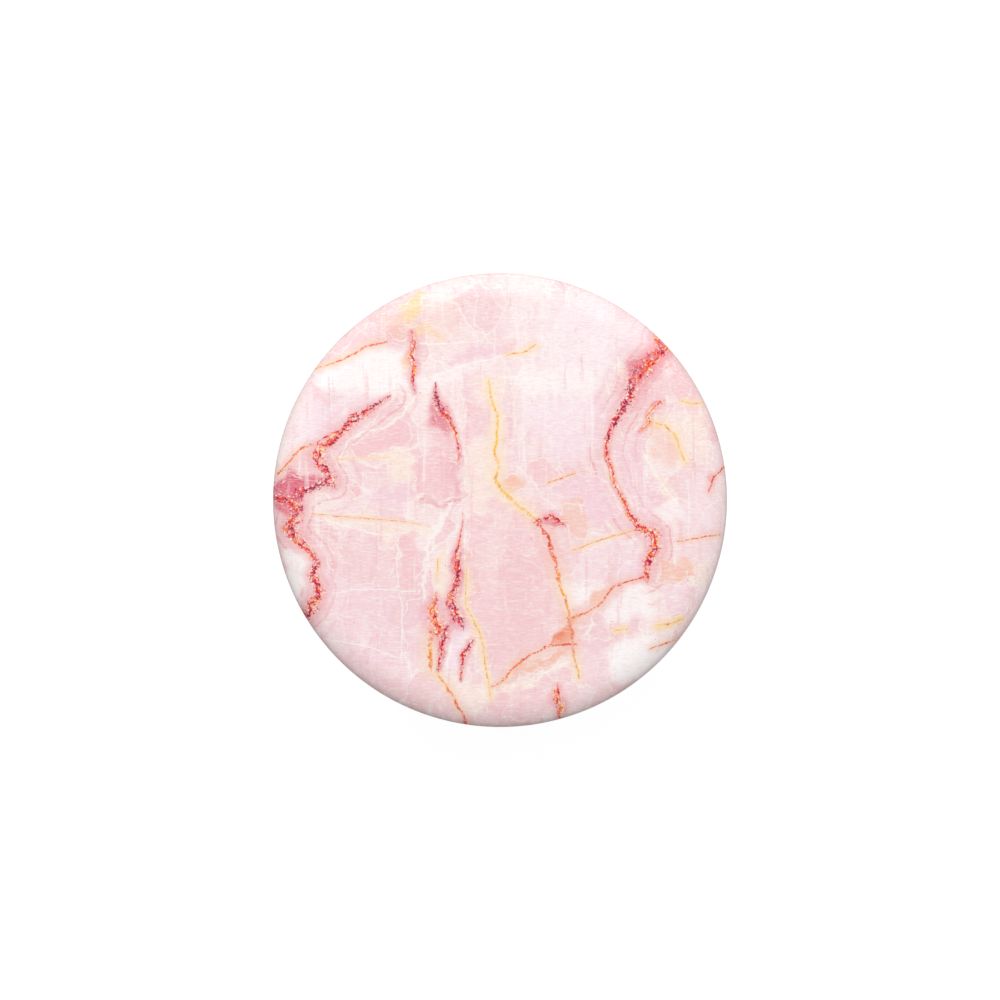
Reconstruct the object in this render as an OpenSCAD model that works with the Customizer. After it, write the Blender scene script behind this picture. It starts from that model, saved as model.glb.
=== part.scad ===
// Collapsible phone grip and stand: a printed round top on a two-stage folding
// accordion, over a platform with a washable gel pad that sticks to a phone's back.
// It is drawn popped out to its full height and resting on the gel face, with
// +Z pointing away from the phone. All lengths are in millimetres.

/* [Overall] */
// Diameter of the top disc and of the platform
disc_d = 39.74; // [38.6:0.02:41]
// Height with both folds pushed flat
flat_h = 6.44; // [6.4:0.02:6.9]
// Travel of each of the two folds
fold_travel = 9; // [8.8:0.1:9]

/* [Top disc] */
// Height of the top disc at its rim
top_h = 2.84; // [2.6:0.02:3]
// Thickness of the printed cap
cap_t = 0.4; // [0.35:0.05:0.45]
// Thickness of the film that bonds the cap
film_t = 0.05; // [0.03:0.01:0.08]
// Thickness of the plate under the film
plate_t = 0.5; // [0.4:0.05:0.55]
// Radial width of the cap's rolled edge
roll_w = 2.4; // [2:0.1:2.6]
// Height of the cap's rolled edge
roll_h = 1.3; // [1.1:0.05:1.4]
// Height of the white lip below the cap
lip_h = 0.5; // [0.4:0.05:0.6]

/* [Accordion] */
// Thickness of the upright walls
wall_t = 0.8; // [0.6:0.05:0.9]
// Thickness of the folding webs between them
web_t = 0.5; // [0.4:0.05:0.6]
// Radius at the middle of the outermost wall
outer_wall_r = 16; // [15.8:0.1:16.2]
// Radial step from one upright wall to the next
wall_step = 3.1; // [3:0.05:3.15]
// Height of the upright walls
wall_h = 4.55; // [4.3:0.05:4.6]

/* [Platform] */
// Thickness of the platform above its pad recess
platform_t = 1.5; // [1.4:0.05:1.7]
// Depth of the recess that the pad sits in
recess_h = 0.3; // [0.2:0.05:0.35]
// Diameter of the pad
pad_d = 38; // [37.5:0.1:38.1]
// Thickness of the washable gel layer
gel_t = 0.35; // [0.3:0.01:0.35]
// Thickness of the pad's carrier film
carrier_t = 0.1; // [0.08:0.01:0.1]
// Thickness of the layer that bonds the pad to the platform
bond_t = 0.15; // [0.12:0.01:0.15]

/* [Quarter-turn lock] */
// Outer radius of the lock stem
stem_r = 5.5; // [5.2:0.1:5.6]
// Radius over the two lugs
lug_r = 7.4; // [7.2:0.05:7.45]
// Width of a lug
lug_w = 3.6; // [3.2:0.1:3.8]
// Height of a lug
lug_h = 1; // [0.8:0.05:1.1]
// Thickness of the collar's flange
flange_t = 0.9; // [0.7:0.05:0.9]
// Running clearance between stem and collar
lock_gap = 0.08; // [0.05:0.01:0.1]

/* [Hidden] */
$fn = 96;

// Clearance between pieces that only rest against each other
seat_gap = 0.02;
disc_r = disc_d / 2;
full_h = flat_h + 2 * fold_travel;

// Levels of the base, from the gel face up
pad_h = gel_t + carrier_t + bond_t;
platform_top = pad_h + platform_t;
flange_h = 0.6;
flange_r = outer_wall_r + wall_t / 2 + 1.3;
edge_r = 0.9;
foot_chamfer = 0.2;

// Levels of the upright walls: each rises from where the web below it ends
base_wall_z = pad_h + seat_gap;
folded_gap = 0.1;
mid_wall_z = pad_h + folded_gap + fold_travel;
top_wall_z = mid_wall_z + fold_travel;
mid_wall_r = outer_wall_r - wall_step;
inner_wall_r = mid_wall_r - wall_step;

// Levels of the top disc, from its face down
cap_side_t = 0.5;
roll_z = full_h - roll_h;
rim_z = full_h - top_h;
cap_z = rim_z + lip_h;
plate_top = full_h - cap_t - film_t;
ceiling_z = plate_top - plate_t;
cavity_r = outer_wall_r + wall_t / 2 + 1.2;
rib_h = 0.3;
rib_t = 0.4;

// Levels of the lock, from the ceiling of the top disc down
collar_top = ceiling_z - 0.1;
flange_z = collar_top - flange_t;
lug_top = flange_z - lock_gap;
lug_z = lug_top - lug_h;
stem_z = lug_z - 0.5;
stem_t = 1.1;
skirt_h = 3;
collar_r = inner_wall_r - wall_t / 2;
bead_r = 0.3;
bead_z = flange_z - 0.9;
stop_gap = 0.05;

white = "whitesmoke";
gel_colour = "gainsboro";
print_pink = "mistyrose";

// Points of a quarter ellipse about c, of half-width w and half-height h: it runs
// from the outside to the top, or back down
function quarter(c, w, h, from = 0, to = 90, steps = 12) =
    [for (i = [0:steps]) let (a = from + (to - from) * i / steps) [c[0] + w * cos(a), c[1] + h * sin(a)]];

// Flat round layer of the pad between two heights
module layer(r, z, t) {
    translate([0, 0, z]) cylinder(r = r, h = t);
}

// Upright ring wall about a middle radius
module ring_wall(r, z, h) {
    rotate_extrude()
        translate([r - wall_t / 2, z]) square([wall_t, h]);
}

// Conical web from the top of one wall to the foot of the next one in
module web(r_low, z_low, r_high, z_high) {
    half = web_t / 2;
    rotate_extrude()
        polygon([
            [r_low - half, z_low], [r_low + half, z_low],
            [r_high + half, z_high], [r_high - half, z_high],
        ]);
}

// Washable gel layer, whose lower face sticks to the phone
module adhesive_gel() {
    color(gel_colour) layer(pad_d / 2, 0, gel_t);
}

// Stiff film that keeps the pad flat
module carrier_film() {
    color(gel_colour) layer(pad_d / 2, gel_t, carrier_t);
}

// Permanent adhesive between the pad and the platform
module bond_layer() {
    color(gel_colour) layer(pad_d / 2, gel_t + carrier_t, bond_t);
}

// Base disc with a rolled edge, a pad recess below and a counterbored middle
// that holds the accordion's flange
module platform() {
    recess_r = pad_d / 2 + 0.1;
    hole_r = outer_wall_r + wall_t / 2 + seat_gap;
    foot_z = pad_h - recess_h;
    step_z = pad_h + flange_h + 2 * seat_gap;
    color(white) rotate_extrude()
        polygon(concat(
            [
                [hole_r, step_z], [flange_r + seat_gap, step_z],
                [flange_r + seat_gap, pad_h], [recess_r, pad_h],
                [recess_r, foot_z], [disc_r - foot_chamfer, foot_z],
                [disc_r, foot_z + foot_chamfer],
            ],
            quarter([disc_r - edge_r, platform_top - edge_r], edge_r, edge_r),
            [[hole_r, platform_top]]
        ));
}

// Outermost upright wall, with the flange that the platform traps
module accordion_base_wall() {
    color(white) union() {
        ring_wall(outer_wall_r, base_wall_z, wall_h);
        rotate_extrude()
            translate([outer_wall_r - wall_t / 2, base_wall_z])
                square([flange_r - outer_wall_r + wall_t / 2, flange_h]);
    }
}

// Lower web, which turns inside out as the lower fold closes
module accordion_lower_web() {
    color(white) web(
        outer_wall_r, base_wall_z + wall_h,
        mid_wall_r, mid_wall_z - seat_gap
    );
}

// Middle upright wall, which drops inside the outermost one
module accordion_mid_wall() {
    color(white) ring_wall(mid_wall_r, mid_wall_z, wall_h);
}

// Upper web, which turns inside out as the upper fold closes
module accordion_upper_web() {
    color(white) web(
        mid_wall_r, mid_wall_z + wall_h,
        inner_wall_r, top_wall_z - seat_gap
    );
}

// Innermost upright wall, moulded round the collar
module accordion_top_wall() {
    color(white) difference() {
        ring_wall(inner_wall_r, top_wall_z, collar_top - top_wall_z);
        rotate_extrude()
            translate([collar_r - bead_r, bead_z]) square(2 * bead_r);
    }
}

// Stiff ring inside the accordion's top, with the lock's keyhole and turn stops
module collar() {
    hole_r = stem_r + lock_gap;
    slot_w = lug_w + 0.4;
    slot_r = lug_r + 0.15;
    color(white) union() {
        difference() {
            rotate_extrude()
                polygon([
                    [0, flange_z], [collar_r - wall_t, flange_z],
                    [collar_r - wall_t, collar_top - skirt_h],
                    [collar_r, collar_top - skirt_h],
                    [collar_r, bead_z],
                    [collar_r + bead_r, bead_z],
                    [collar_r + bead_r, bead_z + 2 * bead_r],
                    [collar_r, bead_z + 2 * bead_r],
                    [collar_r, collar_top], [0, collar_top],
                ]);
            translate([0, 0, flange_z - 1]) cylinder(r = hole_r, h = flange_t + 2);
            intersection() {
                translate([-slot_w / 2, -slot_r, flange_z - 1])
                    cube([slot_w, 2 * slot_r, flange_t + 2]);
                translate([0, 0, flange_z - 1]) cylinder(r = slot_r, h = flange_t + 2);
            }
        }
        for (turn = [0, 180]) rotate(turn) turn_stop();
    }
}

// Quarter ring under the flange, which a lug meets at each end of its turn
module turn_stop() {
    side = lug_w / 2 + stop_gap;
    height = lug_h + flange_t / 2;
    translate([0, 0, flange_z - lug_h]) intersection() {
        rotate_extrude()
            translate([stem_r + 0.5, 0]) square([lug_r - stem_r - 0.4, height]);
        translate([side, -side - lug_r, 0]) cube([lug_r, lug_r, height]);
    }
}

// Tube with two lugs below the collar's flange, welded to the top plate
module lock_stem() {
    color(white) difference() {
        union() {
            translate([0, 0, stem_z]) cylinder(r = stem_r, h = ceiling_z - stem_z);
            intersection() {
                translate([-lug_r, -lug_w / 2, lug_z]) cube([2 * lug_r, lug_w, lug_h]);
                translate([0, 0, lug_z]) cylinder(r = lug_r, h = lug_h);
            }
        }
        translate([0, 0, stem_z - 1]) cylinder(r = stem_r - stem_t, h = ceiling_z - stem_z + 2);
    }
}

// Moulded underside of the top disc: a hollow plate with a lip, two stiffening
// rings and a boss that centres the stem
module top_plate() {
    inner_w = roll_w - cap_side_t - film_t;
    inner_h = roll_h - cap_t - film_t;
    lip_r = disc_r - 0.1;
    seat_r = disc_r - roll_w + inner_w;
    color(white) union() {
        rotate_extrude()
            polygon(concat(
                [
                    [0, ceiling_z], [cavity_r, ceiling_z], [cavity_r, rim_z + 0.1],
                    [cavity_r + 0.1, rim_z], [lip_r - foot_chamfer, rim_z],
                    [lip_r, rim_z + foot_chamfer], [lip_r, cap_z - seat_gap],
                    [seat_r, cap_z - seat_gap],
                ],
                quarter([disc_r - roll_w, roll_z], inner_w, inner_h),
                [[0, plate_top]]
            ));
        for (r = [outer_wall_r, mid_wall_r]) rotate_extrude()
            translate([r - wall_step / 2 - rib_t / 2, ceiling_z - rib_h])
                square([rib_t, rib_h + plate_t / 2]);
        translate([0, 0, ceiling_z - 0.8])
            cylinder(r = stem_r - stem_t - seat_gap, h = 0.8 + plate_t / 2);
    }
}

// Double-sided film that holds the printed cap
module cap_bond_film() {
    color(gel_colour) layer(disc_r - roll_w - 0.2, plate_top, film_t);
}

// Printed cap, rolled over the rim
module printed_cap() {
    inner_w = roll_w - cap_side_t;
    inner_h = roll_h - cap_t;
    color(print_pink) rotate_extrude()
        polygon(concat(
            [[disc_r - cap_side_t, cap_z], [disc_r, cap_z]],
            quarter([disc_r - roll_w, roll_z], roll_w, roll_h),
            [[0, full_h], [0, full_h - cap_t]],
            quarter([disc_r - roll_w, roll_z], inner_w, inner_h, 90, 0)
        ));
}

adhesive_gel();
carrier_film();
bond_layer();
platform();
accordion_base_wall();
accordion_lower_web();
accordion_mid_wall();
accordion_upper_web();
accordion_top_wall();
collar();
lock_stem();
top_plate();
cap_bond_film();
printed_cap();
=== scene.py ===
"""Looks of the collapsible phone grip: a rose-marble top disc on a folding white neck,
over a white base disc and its gel pad. Shapes are worked out in millimetres, in the
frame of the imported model, and built in metres."""
import math

import bmesh
import bpy
import numpy as np
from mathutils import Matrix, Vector


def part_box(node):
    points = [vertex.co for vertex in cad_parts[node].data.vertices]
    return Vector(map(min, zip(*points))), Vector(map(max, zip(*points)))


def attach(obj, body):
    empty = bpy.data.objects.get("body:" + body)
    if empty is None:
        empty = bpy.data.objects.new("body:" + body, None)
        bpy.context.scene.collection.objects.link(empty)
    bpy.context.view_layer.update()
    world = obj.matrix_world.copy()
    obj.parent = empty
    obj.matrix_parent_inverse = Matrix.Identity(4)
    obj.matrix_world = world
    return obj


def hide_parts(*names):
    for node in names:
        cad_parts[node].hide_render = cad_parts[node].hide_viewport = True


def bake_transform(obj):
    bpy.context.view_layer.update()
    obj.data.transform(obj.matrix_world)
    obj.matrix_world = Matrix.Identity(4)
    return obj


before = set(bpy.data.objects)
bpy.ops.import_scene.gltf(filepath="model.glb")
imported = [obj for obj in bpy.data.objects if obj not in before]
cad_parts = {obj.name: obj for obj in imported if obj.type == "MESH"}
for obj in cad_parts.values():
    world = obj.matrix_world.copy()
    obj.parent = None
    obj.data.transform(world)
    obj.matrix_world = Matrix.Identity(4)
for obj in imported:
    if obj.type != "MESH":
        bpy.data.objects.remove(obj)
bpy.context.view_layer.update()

MM = 0.001


def node_box(node):
    """Lowest and highest corners of a CAD node, in millimetres."""
    low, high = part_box(node)
    return low / MM, high / MM


# ---------------- measures, in mm
CAP_LOW, CAP_HIGH = node_box("printed_cap")
PLATE_LOW, PLATE_HIGH = node_box("top_plate")
PLATFORM_LOW, PLATFORM_HIGH = node_box("platform")
OUTER_LOW, OUTER_HIGH = node_box("accordion_base_wall")
MIDDLE_LOW, MIDDLE_HIGH = node_box("accordion_mid_wall")
INNER_LOW, INNER_HIGH = node_box("accordion_top_wall")
WEB_HIGH = node_box("accordion_lower_web")[1]
GEL_HIGH = node_box("adhesive_gel")[1]
BOND_HIGH = node_box("bond_layer")[1]

DISC_R = CAP_HIGH.x
TOP_Z = CAP_HIGH.z
ROLL_W, ROLL_H = 2.4, 1.3
FLAT_R = DISC_R - ROLL_W
ROLL_Z = TOP_Z - ROLL_H
CEILING_Z = PLATE_HIGH.z - 0.5
SEAM_Z = (MIDDLE_LOW.z + MIDDLE_HIGH.z) / 2
HALF_WALL, HALF_WEB, FLANGE_T = 0.4, 0.25, 0.6
GAP = 0.02
OUTER_WALL_R = WEB_HIGH.x - HALF_WEB
STEP_R = OUTER_WALL_R - (MIDDLE_HIGH.x - HALF_WALL)
MIDDLE_WALL_R = OUTER_WALL_R - STEP_R
INNER_WALL_R = MIDDLE_WALL_R - STEP_R
FAR = 1e9


# ---------------- shapes
def ellipse_arc(centre, width, height, start, end, steps):
    """Points of an elliptical arc about a centre, between two angles in degrees."""
    angles = np.radians(np.linspace(start, end, steps + 1))
    return [(centre[0] + width * math.cos(a), centre[1] + height * math.sin(a)) for a in angles]


def fillet(before, corner, after, radius, steps=6):
    """The arc of that radius which rounds a corner between two neighbours."""
    before, corner, after = (np.array(p, float) for p in (before, corner, after))
    to_before = (before - corner) / np.linalg.norm(before - corner)
    to_after = (after - corner) / np.linalg.norm(after - corner)
    half = math.acos(max(-1.0, min(1.0, float(to_before @ to_after)))) / 2
    middle = to_before + to_after
    centre = corner + middle / np.linalg.norm(middle) * radius / math.sin(half)
    first = corner + to_before * radius / math.tan(half) - centre
    last = corner + to_after * radius / math.tan(half) - centre
    points = []
    for i in range(steps + 1):
        spoke = first * (1 - i / steps) + last * (i / steps)
        points.append(tuple(centre + spoke / np.linalg.norm(spoke) * radius))
    return points


def rounded(corners):
    """An outline through (radius, height, rounding) corners."""
    points = []
    for i, (r, z, rounding) in enumerate(corners):
        if rounding == 0:
            points.append((r, z))
            continue
        after = corners[(i + 1) % len(corners)]
        points += fillet(corners[i - 1][:2], (r, z), after[:2], rounding)
    return points


def is_ring(outline):
    """Whether an outline closes on itself. One that starts on the axis also ends there."""
    return outline[0][0] > 0


def supported(outline, gap=0.07):
    """The outline with a point close to each end of its long straight stretches, which
    keeps smooth shading flat between the roundings."""
    points = []
    count = len(outline)
    for i, start in enumerate(outline):
        points.append(start)
        if i == count - 1 and not is_ring(outline):
            break
        end = outline[(i + 1) % count]
        length = math.dist(start, end)
        if length > 4 * gap:
            for t in (gap / length, 1 - gap / length):
                points.append((start[0] + t * (end[0] - start[0]), start[1] + t * (end[1] - start[1])))
    return points


def finish_mesh(name, points, faces, sharp=40):
    """A smooth-shaded object from points in millimetres, with its normals outwards."""
    mesh = bpy.data.meshes.new(name)
    mesh.from_pydata([tuple(c * MM for c in p) for p in points], [], faces)
    shape = bmesh.new()
    shape.from_mesh(mesh)
    bmesh.ops.recalc_face_normals(shape, faces=shape.faces)
    shape.to_mesh(mesh)
    shape.free()
    mesh.shade_smooth()
    mesh.set_sharp_from_angle(angle=math.radians(sharp))
    obj = bpy.data.objects.new(name, mesh)
    bpy.context.scene.collection.objects.link(obj)
    return obj


def lathe(name, outline, segments=288):
    """A solid of revolution about Z from (radius, height) points."""
    points, rings = [], []
    for r, z in outline:
        if r == 0:
            rings.append([len(points)] * segments)
            points.append((0, 0, z))
            continue
        rings.append(list(range(len(points), len(points) + segments)))
        for k in range(segments):
            angle = 2 * math.pi * k / segments
            points.append((r * math.cos(angle), r * math.sin(angle), z))
    faces = []
    for i in range(len(rings) if is_ring(outline) else len(rings) - 1):
        inner, outer = rings[i], rings[(i + 1) % len(rings)]
        for k in range(segments):
            j = (k + 1) % segments
            corners = []
            for v in (inner[k], inner[j], outer[j], outer[k]):
                if v not in corners:
                    corners.append(v)
            faces.append(corners)
    return finish_mesh(name, points, faces)


def disc_grid(cells, radius):
    """A square grid mapped to a disc: its (x, y) points, its faces, and its border's
    point numbers in order of angle."""
    points = []
    for j in range(cells + 1):
        for i in range(cells + 1):
            a, b = 2 * i / cells - 1, 2 * j / cells - 1
            if a == 0 and b == 0:
                points.append((0.0, 0.0))
            elif abs(a) > abs(b):
                turn = math.pi / 4 * b / a
                points.append((radius * a * math.cos(turn), radius * a * math.sin(turn)))
            else:
                turn = math.pi / 2 - math.pi / 4 * a / b
                points.append((radius * b * math.cos(turn), radius * b * math.sin(turn)))
    row = cells + 1
    faces = [
        [j * row + i, j * row + i + 1, (j + 1) * row + i + 1, (j + 1) * row + i]
        for j in range(cells) for i in range(cells)
    ]
    east = [j * row + cells for j in range(cells)]
    north = [cells * row + cells - i for i in range(cells)]
    west = [(cells - j) * row for j in range(cells)]
    south = list(range(cells))
    return points, faces, east + north + west + south


# ---------------- print on the cap
# Each vein is a run of (x, y) points in mm on the print, with half widths and heats that are
# spread evenly along it. Heat 0 is plum, 0.5 red, and 1 yellow.
VEINS = {
    "crimson_trunk": [
        ((0.08, 0.16, 0.2, 0.2, 0.28, 0.24, 0.16, 0.36, 0.34, 0.16, 0.18, 0.26, 0.32),
         (0.1, 0.15, 0.45, 0.25, 0.1, 0.4, 0.45, 0.35, 0.4),
         [(-9.7, 9.0), (-10.6, 8.4), (-11.5, 7.7), (-12.8, 6.9), (-13.6, 6.1), (-14.6, 5.2),
          (-15.7, 4.4), (-15.8, 3.6), (-15.3, 2.8), (-14.6, 1.6), (-15.8, 1.3), (-17.1, 0.7),
          (-17.9, -0.1), (-17.8, -1.2), (-18.3, -2.5), (-17.5, -3.6), (-16.4, -4.6), (-15.9, -5.5),
          (-16.4, -6.5), (-15.7, -7.7), (-16.1, -8.9), (-16.9, -10.0)]),
        ((0.1, 0.14, 0.08), (0.65, 0.5), [(-7.7, 14.5), (-7.4, 13.5), (-7.8, 12.7), (-7.4, 11.5),
          (-7.7, 10.5), (-7.4, 9.4)]),
        ((0.05, 0.2, 0.12, 0.08, 0.05),
         (0.2, 0.3, 0.7, 0.6),
         [(-5.6, 10.2), (-5.6, 8.8), (-5.0, 7.7), (-4.3, 6.9), (-3.9, 6.0), (-3.7, 5.1), (-3.5, 3.9)]),
        ((0.2, 0.24, 0.36, 0.34, 0.22, 0.16, 0.14, 0.1, 0.12, 0.1, 0.2, 0.3, 0.24, 0.16),
         (0.6, 0.3, 0.2, 0.25, 0.45, 0.75, 0.4, 0.55, 0.5),
         [(13.7, 14.1), (14.3, 13.1), (13.2, 12.4), (12.4, 11.4), (11.6, 10.2), (11.3, 9.0),
          (10.5, 7.7), (9.7, 6.3), (9.3, 4.8), (9.3, 3.7), (9.7, 2.8), (9.9, 1.6), (10.7, 0.1),
          (11.3, -1.3), (12.4, -2.5), (13.4, -3.0), (13.6, -4.2), (12.9, -5.4), (12.8, -6.7)]),
        ((0.12, 0.32, 0.34), (1.0, 0.8, 0.55), [(-5.6, -8.4), (-5.9, -9.7), (-5.5, -10.8), (-5.1, -11.3)]),
        ((0.08, 0.14, 0.06), (0.2, 0.4), [(-2.4, -12.3), (-3.2, -13.5), (-3.4, -15.7)]),
    ],
    "crimson_branch": [
        ((0.06, 0.1, 0.16, 0.16, 0.2, 0.2, 0.2),
         (0.6, 0.4, 0.2, 0.25),
         [(-3.4, -2.8), (-3.6, -3.9), (-3.9, -5.1), (-3.6, -6.1), (-3.9, -7.7), (-4.3, -8.9),
          (-3.9, -9.7), (-3.4, -10.7)]),
        ((0.1, 0.12, 0.1), (0.4,), [(3.1, -1.9), (4.5, -1.4), (5.5, -2.1)]),
        ((0.2, 0.25, 0.2), (0.65, 0.5), [(14.7, 13.4), (13.7, 12.6), (12.9, 11.5), (12.1, 10.6)]),
        ((0.12, 0.22, 0.14), (0.6,), [(5.0, -16.3), (4.9, -17.3), (5.4, -17.9), (5.2, -18.9)]),
        ((0.12, 0.07), (0.8,), [(14.0, 8.5), (13.5, 8.2), (12.9, 7.4), (13.0, 6.7), (12.2, 6.0)]),
        ((0.18, 0.24), (0.3,), [(-19.6, 0.2), (-18.7, 0.0), (-17.8, -0.5)]),
        ((0.1, 0.12, 0.06), (0.15,), [(-4.7, -11.2), (-5.0, -12.6), (-5.4, -14.8)]),
        ((0.05, 0.02), (0.4, 0.7), [(-3.5, 3.9), (-3.7, 3.3), (-3.6, 2.7)]),
        ((0.02, 0.05), (0.7, 0.4), [(-3.3, -1.0), (-3.2, -1.8), (-3.4, -2.8)]),
    ],
    "amber_trunk": [
        ((0.04, 0.1, 0.1, 0.1), (1.0, 0.95), [(-1.0, 10.5), (-0.8, 8.9), (-0.2, 7.4), (-0.3, 5.5),
          (-0.4, 4.0), (-0.1, 3.0), (-0.4, 1.9), (0.2, 0.7), (1.5, -0.4), (2.8, -1.5), (3.3, -2.0)]),
        ((0.1, 0.14, 0.1, 0.1), (0.55, 0.6, 0.85, 0.8), [(3.3, -2.0), (4.1, -3.1), (4.5, -4.5),
          (5.0, -6.0), (5.2, -7.4), (5.8, -8.9), (6.1, -10.3)]),
        ((0.12, 0.06), (0.6, 0.95), [(6.1, -10.3), (6.3, -12.6), (6.5, -13.5), (6.9, -15.5)]),
        ((0.06,), (0.7,), [(-16.4, 4.8), (-17.4, 4.4), (-18.4, 3.3), (-19.4, 2.2)]),
        ((0.08, 0.05), (0.65, 0.85), [(-10.1, 13.7), (-11.7, 13.4), (-13.3, 12.4), (-14.6, 11.9),
          (-16.1, 11.5)]),
        ((0.05,), (0.95,), [(15.8, 8.6), (16.7, 8.4), (17.6, 8.5)]),
        ((0.06,), (0.55,), [(19.5, 2.8), (18.6, 2.0), (18.2, 0.8)]),
        ((0.04,), (0.7,), [(19.2, -3.0), (17.3, -3.3), (15.5, -3.6)]),
        ((0.022, 0.03, 0.02), (0.8,), [(-16.4, -1.2), (-12.9, -1.5), (-9.1, -1.8), (-6.2, -2.2)]),
        ((0.06, 0.1), (0.9, 0.6), [(-5.5, -15.1), (-4.3, -16.7), (-3.3, -18.6), (-3.0, -19.4)]),
        ((0.07,), (0.9,), [(13.8, -10.9), (15.7, -10.5)]),
        ((0.04,), (0.9,), [(-5.4, -5.2), (-5.5, -7.0)]),
        ((0.06,), (0.7,), [(13.2, -12.9), (15.1, -12.3)]),
    ],
    "amber_branch": [
        ((0.09, 0.06, 0.08, 0.06), (0.7, 0.6), [(6.1, -10.3), (7.8, -9.7), (8.9, -8.9), (9.7, -7.7),
          (10.7, -7.2), (12.6, -6.7)]),
        ((0.1, 0.07, 0.09, 0.06), (0.6, 0.75), [(6.3, -12.6), (4.5, -12.6), (2.8, -13.4), (1.3, -14.4),
          (0.5, -15.5), (-0.4, -16.2)]),
        ((0.07,), (0.95,), [(13.2, 6.8), (14.4, 6.5), (15.3, 5.6), (15.6, 4.5), (16.1, 3.3)]),
        ((0.04,), (0.85,), [(6.3, -4.4), (8.9, -3.4), (11.5, -2.7)]),
        ((0.04,), (0.75,), [(4.2, 1.5), (6.5, 2.3)]),
        ((0.08, 0.04), (0.9,), [(2.9, 13.4), (2.2, 12.9), (0.6, 12.6)]),
        ((0.02,), (0.95,), [(-14.5, 3.5), (-12.0, 3.6), (-9.7, 3.7)]),
        ((0.03, 0.05, 0.045), (0.95,), [(-2.9, -6.0), (-3.0, -9.1), (-2.1, -10.9), (-1.6, -12.0),
          (-1.3, -14.1), (-0.8, -17.3)]),
        ((0.12, 0.12), (0.85,), [(-5.9, -11.6), (-6.1, -12.9), (-6.0, -14.5)]),
        ((0.05,), (0.95,), [(10.0, -11.4), (11.0, -11.2)]),
    ],
    "crack": [
        ((0.16, 0.26, 0.2), (0,), [(-4.3, -0.4), (-5.2, -1.9), (-5.9, -3.0), (-6.4, -5.1), (-6.6, -8.4)]),
        ((0.09,), (0,), [(-13.9, 3.6), (-13.3, 5.1), (-11.7, 6.0), (-10.0, 6.3), (-8.5, 7.4),
          (-7.4, 9.0)]),
        ((0.05,), (0,), [(-8.8, -3.0), (-9.0, -5.4), (-8.8, -7.9), (-7.0, -8.0)]),
        ((0.06,), (0,), [(-17.0, -1.5), (-14.4, -2.0), (-10.6, -3.0)]),
        ((0.06,), (0,), [(-14.5, -8.1), (-12.6, -7.8), (-9.1, -7.8), (-8.5, -8.9), (-8.6, -14.1)]),
        ((0.06,), (0,), [(-14.9, -12.2), (-12.0, -12.6), (-8.8, -13.8)]),
        ((0.1,), (0,), [(-3.9, -11.3), (-4.3, -12.9), (-4.6, -14.7)]),
        ((0.08,), (0,), [(-7.1, 10.2), (-3.9, 11.5), (-0.1, 12.5)]),
        ((0.06,), (0,), [(-7.1, 13.6), (-4.5, 13.6), (-1.6, 13.9)]),
        ((0.08,), (0,), [(0.2, 10.7), (3.9, 10.5), (5.4, 9.1)]),
        ((0.07,), (0,), [(12.6, 3.9), (13.9, 1.6), (15.4, -0.3)]),
        ((0.09,), (0,), [(6.0, -14.1), (4.2, -14.8), (3.1, -15.7)]),
    ],
}

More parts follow.
